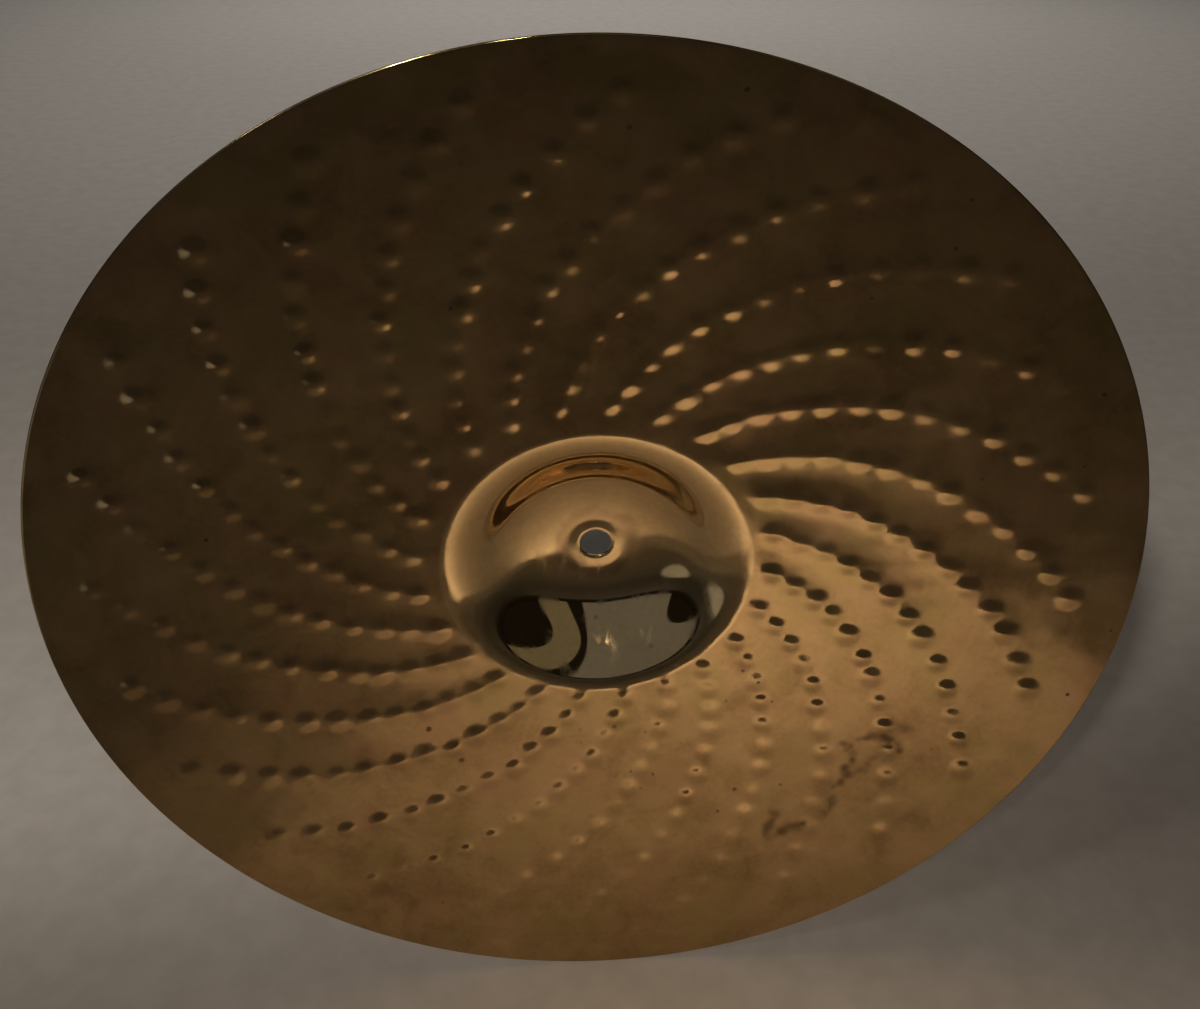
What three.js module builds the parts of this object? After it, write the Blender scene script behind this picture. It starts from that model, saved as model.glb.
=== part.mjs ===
// Crash cymbal, 16 inch: one spun, hammered and lathed disc of cast bronze with
// a domed bell, a shallow bow and a plain mounting hole. Millimetres, +Z up.
//
// The cymbal stands on its rim. Its axis runs along Y: the bell points to +Y,
// the hollow underside faces -Y. The origin is the centre of the mounting hole,
// in the plane of the flat seat round the hole on the underside, which is where
// the felt of a cymbal stand bears.
import * as THREE from "three";

// --- driving dimensions (mm) ------------------------------------------------
const DIAMETER = 406.4; // over the rim, 16 in
const HOLE_DIAMETER = 12.5; // for a stand rod in its sleeve
const SEAT_RADIUS = 10; // flat round the hole, both faces
const BELL_RADIUS = 61.2; // where the bell's foot runs into the bow
const BOW_RISE = 24.4; // bell's foot down to the rim plane
const BELL_SLOPES = [
  // [radius, drop of the underside for each mm outwards]: a rounded crown, a
  // steep flank, and a wide soft foot
  [27, 0.284],
  [33.5, 0.477],
  [43, 0.778],
  [52.7, 0.477],
  [56.7, 0.256],
];
const T_SEAT = 1.35; // sheet thickness at the hole,
const T_BELL = 1.15; //   at the bell's foot
const T_RIM = 0.85; //   and at the rim
const RIM_BREAK = 0.2; // small break on both corners of the rim
const SEGMENTS = 96; // steps round the axis
const BELL_STEPS = 14; // steps along the section
const BOW_STEPS = 8;

const RIM_RADIUS = DIAMETER / 2;
const BOW_CROWN =
  BOW_RISE / (1 - (BELL_RADIUS / RIM_RADIUS) ** 2); // rise of the whole shallow dish that the bow belongs to

// --- underside line: depth below the seat against radius -------------------
// The bow is part of a shallow paraboloid, so its slope grows towards the rim.
const bowSlope = (r) => (2 * BOW_CROWN * r) / RIM_RADIUS ** 2;

// The bell's slope is a smooth curve through BELL_SLOPES, level at the seat and
// equal to the bow's at the foot.
const KNOTS = [
  [SEAT_RADIUS, 0],
  ...BELL_SLOPES,
  [BELL_RADIUS, bowSlope(BELL_RADIUS)],
];
const TANGENTS = KNOTS.map((_, i) => {
  const a = KNOTS[Math.max(i - 1, 0)],
    b = KNOTS[Math.min(i + 1, KNOTS.length - 1)];
  return (b[1] - a[1]) / (b[0] - a[0]);
});

function slope(r) {
  if (r <= SEAT_RADIUS) return 0;
  if (r >= BELL_RADIUS) return bowSlope(r);
  const i = KNOTS.findIndex((k) => k[0] >= r) - 1;
  const [r0, s0] = KNOTS[i],
    [r1, s1] = KNOTS[i + 1];
  const h = r1 - r0,
    u = (r - r0) / h;
  return (
    s0 * (1 + 2 * u) * (1 - u) ** 2 +
    s1 * u * u * (3 - 2 * u) +
    h * TANGENTS[i] * u * (1 - u) ** 2 -
    h * TANGENTS[i + 1] * u * u * (1 - u)
  );
}

// Simpson's rule from the seat's edge, one panel for each 0.1 mm.
function bellDepth(r) {
  const n = 2 * Math.max(1, Math.ceil((r - SEAT_RADIUS) / 0.2));
  const h = (r - SEAT_RADIUS) / n;
  let sum = slope(SEAT_RADIUS) + slope(r);
  for (let i = 1; i < n; i++) sum += slope(SEAT_RADIUS + i * h) * (i % 2 ? 4 : 2);
  return (sum * h) / 3;
}
const BELL_DEPTH = bellDepth(BELL_RADIUS); // seat down to the bell's foot, 19.6

function depth(r) {
  if (r <= SEAT_RADIUS) return 0;
  if (r <= BELL_RADIUS) return bellDepth(r);
  return BELL_DEPTH + BOW_CROWN * ((r / RIM_RADIUS) ** 2 - (BELL_RADIUS / RIM_RADIUS) ** 2);
}

// Thickness square to the surface, thinner towards the rim.
function thickness(r) {
  if (r <= SEAT_RADIUS) return T_SEAT;
  if (r <= BELL_RADIUS)
    return T_SEAT + ((T_BELL - T_SEAT) * (r - SEAT_RADIUS)) / (BELL_RADIUS - SEAT_RADIUS);
  return T_BELL + ((T_RIM - T_BELL) * (r - BELL_RADIUS)) / (RIM_RADIUS - BELL_RADIUS);
}

function range(from, to, steps) {
  return Array.from({ length: steps }, (_, i) => from + ((to - from) * (i + 1)) / steps);
}

// Radii where the section has a point, from the seat's edge outwards.
const radii = [
  SEAT_RADIUS,
  ...range(SEAT_RADIUS, BELL_RADIUS, BELL_STEPS),
  ...range(BELL_RADIUS, RIM_RADIUS, BOW_STEPS),
];

function cymbalSection() {
  const hole = HOLE_DIAMETER / 2;
  const under = [new THREE.Vector2(hole, 0)];
  for (const r of radii.slice(0, -1)) under.push(new THREE.Vector2(r, -depth(r)));
  const rimLow = -depth(RIM_RADIUS);
  // the rim: a plain edge, parallel to the axis, with both corners broken
  under.push(new THREE.Vector2(RIM_RADIUS - RIM_BREAK, rimLow + slope(RIM_RADIUS) * RIM_BREAK));
  under.push(new THREE.Vector2(RIM_RADIUS, rimLow + RIM_BREAK + slope(RIM_RADIUS) * RIM_BREAK));
  const top = [new THREE.Vector2(hole, T_SEAT)];
  for (const r of radii.slice(0, -1)) {
    const t = thickness(r),
      n = Math.hypot(1, slope(r));
    top.push(new THREE.Vector2(r + (t * slope(r)) / n, -depth(r) + t / n));
  }
  const rise = T_RIM * Math.hypot(1, slope(RIM_RADIUS)); // up the edge to the top face
  top.push(new THREE.Vector2(RIM_RADIUS - RIM_BREAK, rimLow + rise + slope(RIM_RADIUS) * RIM_BREAK));
  top.push(new THREE.Vector2(RIM_RADIUS, rimLow + rise - RIM_BREAK));
  const ring = [...under, ...top.reverse()];
  ring.push(ring[0].clone());
  return ring;
}

const bronze = new THREE.MeshStandardMaterial({
  name: "bronze",
  color: 0x7a5a34,
  metalness: 1,
  roughness: 0.32,
});

const cymbal = new THREE.Mesh(new THREE.LatheGeometry(cymbalSection(), SEGMENTS), bronze);
cymbal.name = "cymbal";

const part = new THREE.Group();
part.name = "crash_cymbal";
part.add(cymbal);

export default part;
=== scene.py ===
"""A crash cymbal standing on its rim, seen on its hollow underside. Metres, in the row frame: axis along Y, bell towards +Y, underside towards -Y."""
import bpy
import math
import numpy as np
from mathutils import Matrix, Vector


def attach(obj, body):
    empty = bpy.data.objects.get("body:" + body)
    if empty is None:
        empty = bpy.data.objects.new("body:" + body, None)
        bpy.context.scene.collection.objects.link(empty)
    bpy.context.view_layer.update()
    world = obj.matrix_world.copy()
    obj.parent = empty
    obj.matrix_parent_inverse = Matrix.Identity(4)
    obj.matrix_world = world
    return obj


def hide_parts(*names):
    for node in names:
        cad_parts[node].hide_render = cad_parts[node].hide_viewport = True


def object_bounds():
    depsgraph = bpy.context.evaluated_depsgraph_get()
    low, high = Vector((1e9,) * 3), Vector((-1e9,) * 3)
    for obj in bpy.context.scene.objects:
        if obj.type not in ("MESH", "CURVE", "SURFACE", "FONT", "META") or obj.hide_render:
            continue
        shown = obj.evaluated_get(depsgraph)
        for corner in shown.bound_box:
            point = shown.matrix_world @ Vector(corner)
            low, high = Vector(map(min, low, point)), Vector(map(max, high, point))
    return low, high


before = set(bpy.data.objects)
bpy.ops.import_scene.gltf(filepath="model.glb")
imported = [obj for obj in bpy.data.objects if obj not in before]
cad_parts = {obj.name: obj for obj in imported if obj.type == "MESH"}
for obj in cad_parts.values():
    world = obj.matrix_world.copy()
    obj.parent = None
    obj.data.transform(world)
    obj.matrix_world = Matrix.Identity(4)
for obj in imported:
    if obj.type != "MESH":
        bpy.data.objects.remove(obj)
cad_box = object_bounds()
cad_box = [list(cad_box[0]), list(cad_box[1])]

MM = 0.001

# ---------------------------------------------------------------- section ---
# The same driving sizes as the CAD, in millimetres.
RIM_R = 203.2
HOLE_R = 6.25
SEAT_R = 10.0
BELL_R = 61.2
BOW_RISE = 24.4
BELL_SLOPES = [(27, 0.284), (33.5, 0.477), (43, 0.778), (52.7, 0.477), (56.7, 0.256)]
T_SEAT, T_BELL, T_RIM = 1.35, 1.15, 0.85
CROWN = BOW_RISE / (1 - (BELL_R / RIM_R) ** 2)

KNOTS = np.array([(SEAT_R, 0), *BELL_SLOPES, (BELL_R, 2 * CROWN * BELL_R / RIM_R**2)])
BEFORE = np.maximum(np.arange(len(KNOTS)) - 1, 0)
AFTER = np.minimum(np.arange(len(KNOTS)) + 1, len(KNOTS) - 1)
TANGENTS = (KNOTS[AFTER, 1] - KNOTS[BEFORE, 1]) / (KNOTS[AFTER, 0] - KNOTS[BEFORE, 0])


def slope(r):
    """Drop of the underside for each millimetre outwards."""
    r = np.asarray(r, float)
    i = np.clip(np.searchsorted(KNOTS[:, 0], r) - 1, 0, len(KNOTS) - 2)
    h = KNOTS[i + 1, 0] - KNOTS[i, 0]
    u = np.clip((r - KNOTS[i, 0]) / h, 0, 1)
    bell = (
        KNOTS[i, 1] * (1 + 2 * u) * (1 - u) ** 2
        + KNOTS[i + 1, 1] * u * u * (3 - 2 * u)
        + h * TANGENTS[i] * u * (1 - u) ** 2
        - h * TANGENTS[i + 1] * u * u * (1 - u)
    )
    return np.where(r <= SEAT_R, 0, np.where(r >= BELL_R, 2 * CROWN * r / RIM_R**2, bell))


LINE_R = np.linspace(0, RIM_R + 2, 20521)
LINE_S = slope(LINE_R)
LINE_D = np.concatenate([[0], np.cumsum((LINE_S[1:] + LINE_S[:-1]) / 2 * np.diff(LINE_R))])


def depth(r):
    """Drop of the underside below the seat."""
    return np.interp(r, LINE_R, LINE_D)


def thickness(r):
    return np.interp(r, [0, SEAT_R, BELL_R, RIM_R], [T_SEAT, T_SEAT, T_BELL, T_RIM])


def smooth(x, low, high):
    t = np.clip((x - low) / (high - low), 0, 1)
    return t * t * (3 - 2 * t)


# ---------------------------------------------------------------- hammering --
ROWS, PER_ROW = 24, 13
ROW_TOP_R, ROW_STEP = 182.8, 9.385  # first mark of a row, and the step inwards
TWIST = math.radians(0.3757)  # turn of a row for each mm inwards
ROW_PHASE = math.radians(11.83)
PATTERN_X, PATTERN_Z = -1.0, 3.8  # the hammering is a little off the disc's centre
MARK_R, MARK_H = 4.8, 0.38
RIDGE = 0.17  # how far the sheet sags between two rows
rng = np.random.default_rng(41)


def marks():
    """Centres (x, z), size and height of every hammer mark, in mm."""
    out = []
    for n in range(ROWS):
        for k in range(PER_ROW):
            r = ROW_TOP_R - ROW_STEP * k
            a = ROW_PHASE + math.radians(15) * n + TWIST * (ROW_TOP_R - r)
            jr, ja = rng.normal(0, 0.5), rng.normal(0, 0.5)
            size = MARK_R * rng.uniform(0.84, 1.12)
            height = MARK_H * rng.uniform(0.6, 1.25) * (0.72 + 0.36 * smooth(r, 80, 150))
            # the blows fell lighter in the upper right quarter and harder at the left
            mx, mz = r * math.cos(a), r * math.sin(a)
            height *= 1 - 0.30 * smooth(mz, -5, 50) * smooth(mx, -40, 20) + 0.16 * smooth(mx, -40, -90)
            rr = r + jr
            x = PATTERN_X + rr * math.cos(a) - ja * math.sin(a)
            z = PATTERN_Z + rr * math.sin(a) + ja * math.cos(a)
            out.append((x, z, size, height))
    return np.array(out)


MARKS = marks()


def mark_field(x, z, grow=1.0):
    """Height of the hammer marks at (x, z), in mm: a rounded top and a soft foot."""
    out = np.zeros_like(x)
    for cx, cz, size, height in MARKS:
        reach = size * grow * 1.25
        near = (np.abs(x - cx) < reach) & (np.abs(z - cz) < reach)
        q = np.clip(1 - ((x[near] - cx) ** 2 + (z[near] - cz) ** 2) / reach**2, 0, 1)
        out[near] += height * q * q * (0.55 + 0.45 * q)
    return out


def waves(count, low, high, seed):
    """Random long waves of the sheet: (kx, kz, phase, amplitude)."""
    g = np.random.default_rng(seed)
    length = np.exp(g.uniform(math.log(low), math.log(high), count))
    way = g.uniform(0, 2 * math.pi, count)
    k = 2 * math.pi / length
    return k * np.cos(way), k * np.sin(way), g.uniform(0, 2 * math.pi, count), length / high


LONG = waves(26, 34, 110, 7)
SHORT = waves(36, 9, 24, 8)


def wave_field(x, z, w):
    out = np.zeros_like(x)
    for kx, kz, p, a in zip(*w):
        out += a * np.cos(kx * x + kz * z + p)
    return out / math.sqrt(len(w[0]) / 2)


def sheet_field(x, z):
    """How far the sheet as a whole is pushed towards the underside, in mm: the crest that each row of blows raises, with the sheet sagging between rows, and the unevenness of a hand-held blank."""
    px, pz = x - PATTERN_X, z - PATTERN_Z
    r, a = np.hypot(px, pz), np.arctan2(pz, px)
    row = ROWS * (a - ROW_PHASE - TWIST * (ROW_TOP_R - r))
    crest = sum(np.cos(n * row) / n**2 for n in (1, 2, 3, 4, 5)) / 2.3
    inside = smooth(r, BELL_R + 0.5, BELL_R + 10) * (1 - smooth(r, 168, 196))
    out = RIDGE * crest * inside * (1.0 - 0.35 * smooth(r, 100, 185))
    on_bow = smooth(r, BELL_R, BELL_R + 14)
    out += (0.05 * wave_field(x, z, LONG) + 0.010 * wave_field(x, z, SHORT)) * on_bow
    out += 0.009 * wave_field(x, z, SHORT) * (1 - on_bow) * smooth(r, 12, 24)
    return out * (1 - smooth(np.hypot(x, z), 196, 203) * 0.8)


# An old splash that has dried on the bow: patches strung along a few lines of points.
SPLASH = [
    [(120, -72), (124, -76), (127, -78), (130, -76)],
    [(109, -84), (115, -83), (121, -82), (125, -86), (127, -91)],
    [(121, -84), (116, -93), (114, -98), (109, -102), (104, -105), (101, -109), (97, -113)],
    [(100, -116), (99, -121), (96, -126), (92, -129), (84, -132), (77, -136), (72, -140)],
    [(104, -87), (107, -93), (106, -99), (104, -103)],
    [(93, -111), (98, -114)],
    [(76, -124), (73, -133), (71, -139)],
]


def splash_patches():
    g = np.random.default_rng(12)
    out = []
    for line in SPLASH:
        for (ax, az), (bx, bz) in zip(line[:-1], line[1:]):
            steps = max(2, int(math.hypot(bx - ax, bz - az) / 1.3))
            for t in np.arange(steps) / steps:
                x, z = ax + (bx - ax) * t + g.normal(0, 0.7), az + (bz - az) * t + g.normal(0, 0.7)
                out.append((x, z, g.uniform(1.1, 2.8), g.uniform(0.16, 0.66)))
    return out


def stain_field(x, z):
    """0 to 1: how dark the dried splash is at (x, z)."""
    clear = np.ones_like(x)
    for cx, cz, size, strength in splash_patches():
        near = (np.abs(x - cx) < 3 * size) & (np.abs(z - cz) < 3 * size)
        d2 = ((x[near] - cx) ** 2 + (z[near] - cz) ** 2) / size**2
        clear[near] *= 1 - strength * np.exp(-(d2**1.5))
    faint = np.exp(-(((x - 98) / 30) ** 2 + ((z + 106) / 26) ** 2) ** 2)
    return np.clip(1 - clear + 0.10 * faint, 0, 1)


# ---------------------------------------------------------------- the mesh ---
COLUMNS = 960


def rings():
    """The section as a closed loop of (r, y, side, outward normal r, outward normal y): underside from hole to rim, the rounded rim, the top from rim to hole, and the hole's wall. side is 1 on the underside, -1 on the top and 0 on the edges."""
    out = []
    bow_under, bow_top, bell = ((127, 98, 52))
    last = RIM_R - 0.9

    def face_radii(bow):
        return [
            *np.linspace(HOLE_R + 0.45, SEAT_R, 4),
            *np.linspace(SEAT_R, BELL_R, bell)[1:],
            *np.linspace(BELL_R, last, bow)[1:],
        ]

    for r in face_radii(bow_under):
        s = float(slope(r))
        n = math.hypot(1, s)
        out.append((r, -float(depth(r)), 1.0, -s / n, -1 / n))
    # The rim: cut square to the sheet, with both corners rolled over.
    s = float(slope(RIM_R))
    n = math.hypot(1, s)
    along, square = np.array([1 / n, -s / n]), np.array([s / n, 1 / n])
    low = np.array([last, -float(depth(last))])
    run = (RIM_R - 0.02 - last) * n
    corner = 0.34
    for lift, start in ((corner, -math.pi / 2), (T_RIM - corner, 0)):
        for i in range(5):
            a = start + math.pi / 2 * i / 4
            way = math.cos(a) * along + math.sin(a) * square
            p = low + along * (run - corner - 0.10) + square * lift + corner * way
            out.append((min(p[0], RIM_R - 0.005), p[1], 0.0, way[0], way[1]))
    for r in face_radii(bow_top)[::-1]:
        s, t = float(slope(r)), float(thickness(r))
        n = math.hypot(1, s)
        out.append((r + t * s / n, -float(depth(r)) + t / n, -1.0, s / n, 1 / n))
    # the hole's wall, with a small rounded break at each end
    wall = [(0.30, 0.02), (0.14, 0.09), (0.04, 0.19), (0.0, 0.34)]
    for away, inset in wall:
        out.append((HOLE_R + away, T_SEAT - inset, 0.0, -1, 0))
    out.append((HOLE_R, T_SEAT / 2, 0.0, -1, 0))
    for away, inset in wall[::-1]:
        out.append((HOLE_R + away, inset, 0.0, -1, 0))
    return np.array(out)


def make_cymbal():
    prof = rings()
    k, c = len(prof), COLUMNS
    ang = np.arange(c) * 2 * math.pi / c
    ca, sa = np.cos(ang), np.sin(ang)
    r, y, side, nr, ny = (prof[:, i][:, None] for i in range(5))
    x0, z0 = r * ca, r * sa
    sheet = sheet_field(x0, z0)
    push = np.where(side > 0, sheet + mark_field(x0, z0), np.where(side < 0, -(sheet + 1.25 * mark_field(x0, z0, 0.9)), 0.0))
    push = push * (1 - smooth(r, RIM_R - 8, RIM_R - 1.5)) * smooth(r, SEAT_R + 1, SEAT_R + 12)
    x, z, yy = x0 + push * nr * ca, z0 + push * nr * sa, y + push * ny
    v = np.stack([x, np.broadcast_to(yy, x.shape), z], -1).reshape(-1, 3) * MM
    i = np.arange(k)[:, None]
    j = np.arange(c)[None, :]
    i2, j2 = (i + 1) % k, (j + 1) % c
    quads = np.stack(np.broadcast_arrays(i * c + j, i2 * c + j, i2 * c + j2, i * c + j2), -1).reshape(-1, 4)
    a, b, d, e = (v[quads[:, n]] for n in range(4))
    volume = np.einsum("ij,ij->i", a, np.cross(b, d)).sum() + np.einsum("ij,ij->i", a, np.cross(d, e)).sum()
    flip = volume < 0
    if flip:
        quads = quads[:, ::-1]
    mesh = bpy.data.meshes.new("cymbal_bronze")
    mesh.vertices.add(len(v))
    mesh.vertices.foreach_set("co", v.astype(np.float32).ravel())
    mesh.loops.add(quads.size)
    mesh.loops.foreach_set("vertex_index", quads.astype(np.int32).ravel())
    mesh.polygons.add(len(quads))
    mesh.polygons.foreach_set("loop_start", np.arange(0, quads.size, 4, dtype=np.int32))
    mesh.polygons.foreach_set("use_smooth", np.ones(len(quads), bool))
    mesh.update(calc_edges=True)
    mesh.validate()
    # One flat map for each side: the distance along the section, from the middle of the hole's wall, is the radius on the map.
    gap = np.hypot(np.diff(prof[:, 0], append=prof[0, 0]), np.diff(prof[:, 1], append=prof[0, 1]))
    at = np.concatenate([[0], np.cumsum(gap[:-1])])
    loop = gap.sum()
    wall_mid, rim_mid = at[-5], at[np.argmax(prof[:, 0] + prof[:, 1] * 1e-6)]
    from_hole = (at - wall_mid) % loop  # 0 at the wall's middle, growing along the underside
    under_run = (rim_mid - wall_mid) % loop
    top_run = loop - under_run
    ring_of = quads // c
    col_of = quads % c
    s = from_hole[ring_of]
    start = s.min(1, keepdims=True)
    s = np.where(s - start > loop / 2, s - loop, s)  # the quad that crosses the wall's middle
    mid = s.mean(1, keepdims=True)
    mid = np.where(mid < 0, mid + loop, mid)
    s = np.where(s < 0, s + loop, s)
    s = np.where(np.abs(s - mid) > loop / 2, s - np.sign(s - mid) * loop, s)
    under = mid < under_run
    longest = max(under_run, top_run) + 7.0
    rad = np.where(under, s, loop - s) + 6.0
    rad = np.clip(rad, 0.5, None) / longest * 0.2475
    th = ang[col_of]
    u = np.where(under, 0.25, 0.75) + rad * np.cos(th) * np.where(under, 1, -1)
    w = 0.5 + rad * np.sin(th) * 2
    layer = mesh.uv_layers.new(name="OFBake")
    layer.data.foreach_set("uv", np.stack([u, w], -1).astype(np.float32).ravel())
    stain = mesh.attributes.new("stain", "FLOAT", "POINT")
    dark = np.where(side > 0, stain_field(x0, z0), 0.0)
    stain.data.foreach_set("value", dark.astype(np.float32).ravel())
    ob = bpy.data.objects.new("cymbal_bronze", mesh)
    bpy.context.scene.collection.objects.link(ob)
    return ob


# ---------------------------------------------------------------- materials --
class Nodes:
    """A short way to write node trees."""

    def __init__(self, name):
        self.mat = bpy.data.materials.new(name)
        self.mat.use_nodes = True
        self.tree = self.mat.node_tree
        self.tree.nodes.clear()
        self.out = self.tree.nodes.new("ShaderNodeOutputMaterial")

    def node(self, kind, inputs=None, **props):
        n = self.tree.nodes.new(kind)
        for key, value in props.items():
            setattr(n, key, value)
        for key, value in (inputs or {}).items():
            self.put(n, key, value)
        return n

    def put(self, n, key, value):
        socket = n.inputs[key]
        if isinstance(value, bpy.types.NodeSocket):
            self.tree.links.new(value, socket)
        else:
            socket.default_value = value

    def math(self, op, a, b=0.0, clamp=False):
        n = self.node("ShaderNodeMath", operation=op, use_clamp=clamp)
        self.put(n, 0, a)
        self.put(n, 1, b)
        return n.outputs[0]

    def total(self, *parts):
        """Sum of (weight, value) pairs."""
        out = None
        for weight, value in parts:
            term = self.math("MULTIPLY", value, weight)
            out = term if out is None else self.math("ADD", out, term)
        return out

    def ramp(self, value, stops):
        n = self.node("ShaderNodeValToRGB", {"Fac": value})
        e = n.color_ramp.elements
        while len(e) < len(stops):
            e.new(0.5)
        for el, (at, colour) in zip(e, stops):
            el.position = at
            el.color = (*colour, 1)
        return n.outputs["Color"]

    def step(self, value, low, high, to_low=0.0, to_high=1.0):
        n = self.node(
            "ShaderNodeMapRange",
            {"Value": value, "From Min": low, "From Max": high, "To Min": to_low, "To Max": to_high},
            interpolation_type="SMOOTHSTEP",
        )
        return n.outputs["Result"]

    def mix(self, fac, a, b, blend="MIX"):
        n = self.node("ShaderNodeMix", data_type="RGBA", blend_type=blend)
        self.put(n, 0, fac)
        self.put(n, 6, a if isinstance(a, bpy.types.NodeSocket) else (*a, 1))
        self.put(n, 7, b if isinstance(b, bpy.types.NodeSocket) else (*b, 1))
        return n.outputs[2]

    def blend(self, fac, a, b):
        n = self.node("ShaderNodeMix", data_type="FLOAT")
        self.put(n, 0, fac)
        self.put(n, 2, a)
        self.put(n, 3, b)
        return n.outputs[0]

    def noise(self, vector, scale, detail=4.0, rough=0.5, distort=0.0):
        return self.node(
            "ShaderNodeTexNoise",
            {"Vector": vector, "Scale": scale, "Detail": detail, "Roughness": rough, "Distortion": distort},
        ).outputs["Fac"]

    def lines(self, w, detail=2.0):
        return self.node(
            "ShaderNodeTexNoise", {"W": w, "Scale": 1.0, "Detail": detail, "Roughness": 0.6}, noise_dimensions="1D"
        ).outputs["Fac"]

    def moved(self, vector, offset):
        return self.node("ShaderNodeVectorMath", {0: vector, 1: offset}, operation="ADD").outputs[0]


def bronze():
    m = Nodes("bronze")
    co = m.node("ShaderNodeTexCoord").outputs["Object"]
    x, y, z = m.node("ShaderNodeSeparateXYZ", {0: co}).outputs
    r = m.math("SQRT", m.math("ADD", m.math("MULTIPLY", x, x), m.math("MULTIPLY", z, z)))  # metres
    on_bell = m.step(r, 0.0604, 0.0616, 1.0, 0.0)

    # Tarnish at three scales: soft clouds, blotches of 5 to 20 mm, and fine grain.
    clouds = m.noise(co, 14.0, 3.0, 0.5, 0.3)
    blotch = m.noise(m.moved(co, (0.3, 0.1, 0.7)), 62.0, 4.0, 0.55, 0.5)
    tint = m.noise(m.moved(co, (1.7, 0.4, 0.2)), 38.0, 3.0, 0.5, 0.4)
    grain = m.noise(co, 420.0, 3.0, 0.6)
    tone = m.total((0.34, clouds), (0.50, blotch), (0.16, grain))
    warm = m.ramp(
        tone,
        [
            (0.34, (0.390, 0.255, 0.118)),
            (0.44, (0.510, 0.342, 0.160)),
            (0.51, (0.590, 0.400, 0.192)),
            (0.59, (0.640, 0.437, 0.215)),
            (0.68, (0.710, 0.496, 0.258)),
        ],
    )
    colour = m.mix(m.step(tint, 0.50, 0.66, 0.0, 0.42), warm, (0.50, 0.385, 0.150))  # olive
    colour = m.mix(m.step(tint, 0.48, 0.34, 0.0, 0.36), colour, (0.58, 0.345, 0.190))  # copper red
    bell_colour = m.ramp(
        m.total((0.6, clouds), (0.4, blotch)),
        [(0.36, (0.620, 0.440, 0.215)), (0.5, (0.720, 0.520, 0.262)), (0.64, (0.750, 0.545, 0.285))],
    )
    # A brown halo where felts have sat round the hole.
    worn = m.math("ADD", r, m.math("MULTIPLY", m.math("SUBTRACT", blotch, 0.5), 0.012))
    halo = m.math("MULTIPLY", m.step(worn, 0.0085, 0.0125), m.step(worn, 0.0185, 0.0145))
    bell_colour = m.mix(m.math("MULTIPLY", halo, 0.5), bell_colour, (0.33, 0.20, 0.115))
    bell_colour = m.mix(m.math("MULTIPLY", m.step(grain, 0.45, 0.62), 0.16), bell_colour, (0.46, 0.32, 0.165))
    colour = m.mix(on_bell, colour, bell_colour)

    # Small corrosion specks, each with its own size, and few of them on the bell.
    def specks(scale, least, size):
        cell = m.node("ShaderNodeTexVoronoi", {"Vector": co, "Scale": scale, "Randomness": 1.0}, feature="F1")
        pick, grow, _ = m.node("ShaderNodeSeparateColor", {0: cell.outputs["Color"]}).outputs
        reach = m.math("MULTIPLY", m.math("ADD", grow, 0.35), size * scale)
        hit = m.math("SUBTRACT", 1.0, m.math("DIVIDE", m.math("ADD", cell.outputs["Distance"], m.math("MULTIPLY", m.math("SUBTRACT", grain, 0.5), 0.10)), reach))
        return m.math("MULTIPLY", m.step(hit, 0.0, 0.45), m.step(pick, least, least + 0.02))

    off = m.node("ShaderNodeVectorMath", {0: co, 1: (0.045, -0.022, -0.084)}, operation="DISTANCE").outputs["Value"]
    dense = m.math("MULTIPLY", m.step(off, 0.075, 0.025), m.step(y, -0.02, -0.0205, 0.0, 1.0))
    speck = m.math("MAXIMUM", specks(85.0, 0.80, 0.0012), m.math("MULTIPLY", specks(150.0, 0.48, 0.0011), dense))
    speck = m.math("MULTIPLY", speck, m.blend(on_bell, 0.75, 0.4))
    stain = m.node("ShaderNodeAttribute", attribute_name="stain").outputs["Fac"]
    stain = m.math("MULTIPLY", stain, m.step(blotch, 0.36, 0.52, 0.35, 0.95))
    dirt = m.math("MAXIMUM", speck, stain)
    colour = m.mix(dirt, colour, (0.130, 0.078, 0.040))

    # Lathe lines: fine grooves round the axis, on the bow.
    fine_line = m.lines(m.math("MULTIPLY", r, 1150.0))
    broad_line = m.lines(m.math("MULTIPLY", r, 240.0), 3.0)
    shade = m.step(broad_line, 0.3, 0.7, 0.975, 1.01)
    # The colour also darkens outwards, by up to 16 percent between 125 mm and 198 mm from the axis.
    shade = m.math("MULTIPLY", shade, m.step(r, 0.125, 0.198, 1.0, 0.84))
    shade = m.blend(on_bell, shade, 1.0)
    colour = m.mix(1.0, colour, m.node("ShaderNodeCombineColor", {0: shade, 1: shade, 2: shade}).outputs[0], "MULTIPLY")
    groove = m.math("MULTIPLY", m.total((0.6, fine_line), (0.4, broad_line)), m.blend(on_bell, 1.0, 0.05))

    rough_bow = m.total((1.0, m.step(blotch, 0.30, 0.70, 0.065, 0.12)), (0.03, m.step(clouds, 0.4, 0.7)))
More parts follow.
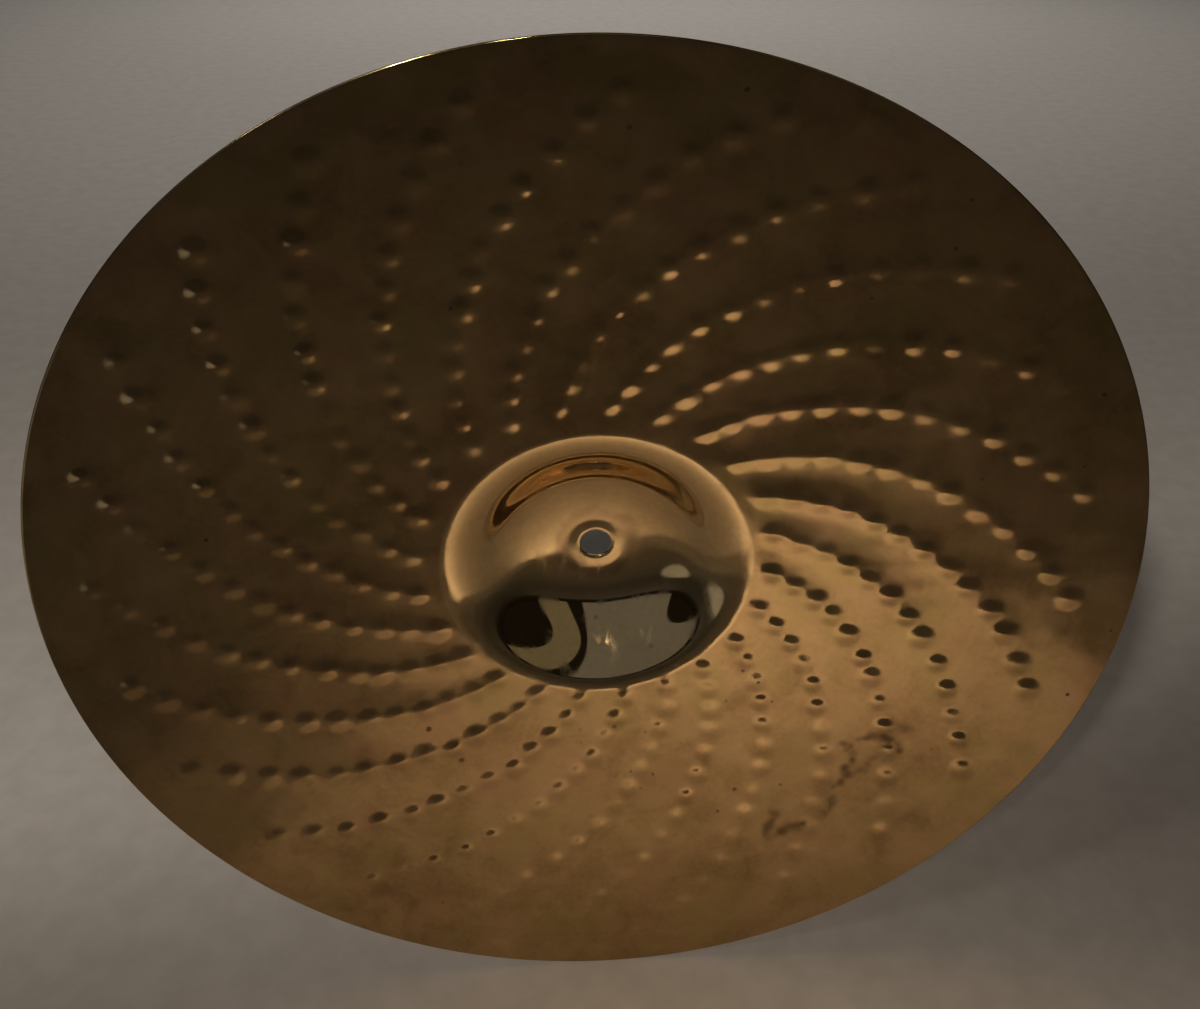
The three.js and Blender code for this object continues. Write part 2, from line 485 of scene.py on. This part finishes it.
    # Finger smears leave the polished bell slightly dull in drawn-out patches.
    wiped = m.node("ShaderNodeMapping", {"Vector": co, "Rotation": (0.0, 0.5, 0.0), "Scale": (1.0, 1.0, 0.28)}).outputs[0]
    smear = m.step(m.noise(wiped, 130.0, 4.0, 0.6, 0.8), 0.47, 0.64)
    rough_bell = m.total((1.0, m.step(blotch, 0.45, 0.75, 0.035, 0.06)), (0.10, smear))
    rough = m.blend(on_bell, rough_bow, rough_bell)
    rough = m.math("ADD", rough, m.math("MULTIPLY", dirt, 0.22))
    bump = m.node("ShaderNodeBump", {"Strength": 0.12, "Distance": 0.00005, "Height": groove})
    tangent = m.node("ShaderNodeTangent", direction_type="RADIAL", axis="Y")
    shader = m.node(
        "ShaderNodeBsdfPrincipled",
        {
            "Base Color": colour,
            "Metallic": 1.0,
            "Roughness": rough,
            "Anisotropic": 0.05,
            "Normal": bump.outputs[0],
            "Tangent": tangent.outputs[0],
        },
    )
    m.tree.links.new(shader.outputs[0], m.out.inputs[0])
    return m.mat


def floor_material():
    m = Nodes("pale_floor")
    co = m.node("ShaderNodeTexCoord").outputs["Object"]
    grain = m.noise(co, 55.0, 4.0, 0.6)
    colour = m.mix(m.step(grain, 0.3, 0.7), (0.60, 0.575, 0.545), (0.66, 0.635, 0.605))
    shader = m.node("ShaderNodeBsdfPrincipled", {"Base Color": colour, "Roughness": 0.8})
    m.tree.links.new(shader.outputs[0], m.out.inputs[0])
    return m.mat


cymbal = make_cymbal()
cymbal.data.materials.append(bronze())
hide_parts("cymbal")
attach(cymbal, "root")

# ---------------------------------------------------------------- the stage --
fm = bpy.data.meshes.new("floor")
s = 6.0
fm.from_pydata([(-s, -s, 0), (s, -s, 0), (s, s, 0), (-s, s, 0)], [], [(0, 1, 2, 3)])
floor = bpy.data.objects.new("floor", fm)
floor.location = (0, 0, -RIM_R * MM)
fm.materials.append(floor_material())
bpy.context.scene.collection.objects.link(floor)

world = bpy.data.worlds.new("studio")
bpy.context.scene.world = world
world.use_nodes = True
world.node_tree.nodes["Background"].inputs["Color"].default_value = (0.72, 0.58, 0.45, 1)
world.node_tree.nodes["Background"].inputs["Strength"].default_value = 0.012


def lamp(name, kind, at, aim, power, colour, **props):
    data = bpy.data.lights.new(name, kind)
    data.energy = power
    data.color = colour
    for key, value in props.items():
        setattr(data, key, value)
    ob = bpy.data.objects.new(name, data)
    ob.location = at
    ob.rotation_mode = "QUATERNION"
    ob.rotation_quaternion = (Vector(aim) - Vector(at)).to_track_quat("-Z", "Y")
    bpy.context.scene.collection.objects.link(ob)
    ob.visible_camera = False
    return ob


def hooded(name, at, plan, low_edge, power, colour, soft, radius):
    """A lamp behind a hood: nothing nearer than low_edge degrees from straight down is lit, and everything beyond is."""
    half = 60.0
    tilt = math.radians(low_edge + half)
    way = Vector((math.sin(tilt) * math.sin(math.radians(plan)), math.sin(tilt) * math.cos(math.radians(plan)), -math.cos(tilt)))
    return lamp(name, "SPOT", at, Vector(at) + way, power, colour, spot_size=math.radians(2 * half), spot_blend=soft, shadow_soft_size=radius)


WARM = (1.0, 0.79, 0.60)
hooded("key", (-0.08, -0.56, 0.44), 14.0, 21.4, 2.0, WARM, 0.02, 0.02)
hooded("key_spill", (-0.08, -0.56, 0.44), 14.0, 13.5, 0.20, WARM, 0.03, 0.02)
pool = hooded("pool", (0.045, -0.39, -0.08), 12.0, 31.0, 1.28, WARM, 0.04, 0.008)
pool.visible_glossy = False  # it only lights the floor
hooded("stage_light", (-0.60, -1.20, 1.20), 0.0, 38.5, 55.0, (1.0, 0.90, 0.78), 0.10, 0.07)
lamp("rim_light", "SPOT", (-1.00, -0.70, 0.95), (0.0, 0.0, 0.0), 4.0, (1.0, 0.93, 0.84), spot_size=math.radians(50), spot_blend=0.5, shadow_soft_size=0.09)
lamp("side_pool", "SPOT", (-0.45, -0.45, 0.75), (-0.36, -0.44, -0.203), 13.0, (0.95, 0.97, 1.0), spot_size=math.radians(18), spot_blend=0.45, shadow_soft_size=0.02)
lamp("front_panel", "AREA", (-0.53, -1.45, 0.47), (-0.28, 0.0, 0.2), 0.76, (0.92, 0.95, 1.0), shape="RECTANGLE", size=1.56, size_y=1.2)
lamp("front_strip", "AREA", (0.64, -1.45, 0.47), (0.40, 0.0, 0.2), 0.24, (1.0, 0.93, 0.72), shape="RECTANGLE", size=0.52, size_y=1.2)
hooded("wash", (0.0, -0.30, 1.90), 0.0, 22.0, 38.0, (1.0, 0.93, 0.86), 0.5, 0.05)
lamp("rear_panel", "AREA", (0.30, 2.30, 0.95), (0.0, 0.0, 0.0), 3.4, (1.0, 0.95, 0.88), shape="RECTANGLE", size=2.4, size_y=1.4)
lamp("backdrop", "AREA", (0.10, 3.00, 1.60), (0.10, 3.00, -0.2), 8.0, (1.0, 0.95, 0.89), shape="SQUARE", size=2.0, spread=math.radians(110))

# ---------------------------------------------------------------- the camera -
cam_data = bpy.data.cameras.new("camera")
cam = bpy.data.objects.new("camera", cam_data)
bpy.context.scene.collection.objects.link(cam)
cam_data.sensor_fit = "HORIZONTAL"
cam_data.sensor_width = 36
cam_data.lens = 36.0
cam_data.shift_x = -28.1 / 1200
cam_data.shift_y = -4.5 / 1200
cam_data.clip_start = 0.01
el, az = math.radians(32.27), math.radians(3.38)
forward = Vector((math.sin(az) * math.cos(el), math.cos(az) * math.cos(el), -math.sin(el)))
right = forward.cross(Vector((0, 0, 1))).normalized()
up = right.cross(forward)
rot = Matrix((right, up, -forward)).transposed()
cam.matrix_world = Matrix.Translation((-0.0105, -0.3985, 0.2721)) @ rot.to_4x4()
bpy.context.scene.camera = cam

scene = bpy.context.scene
scene.view_settings.view_transform = "Standard"
scene.view_settings.look = "None"
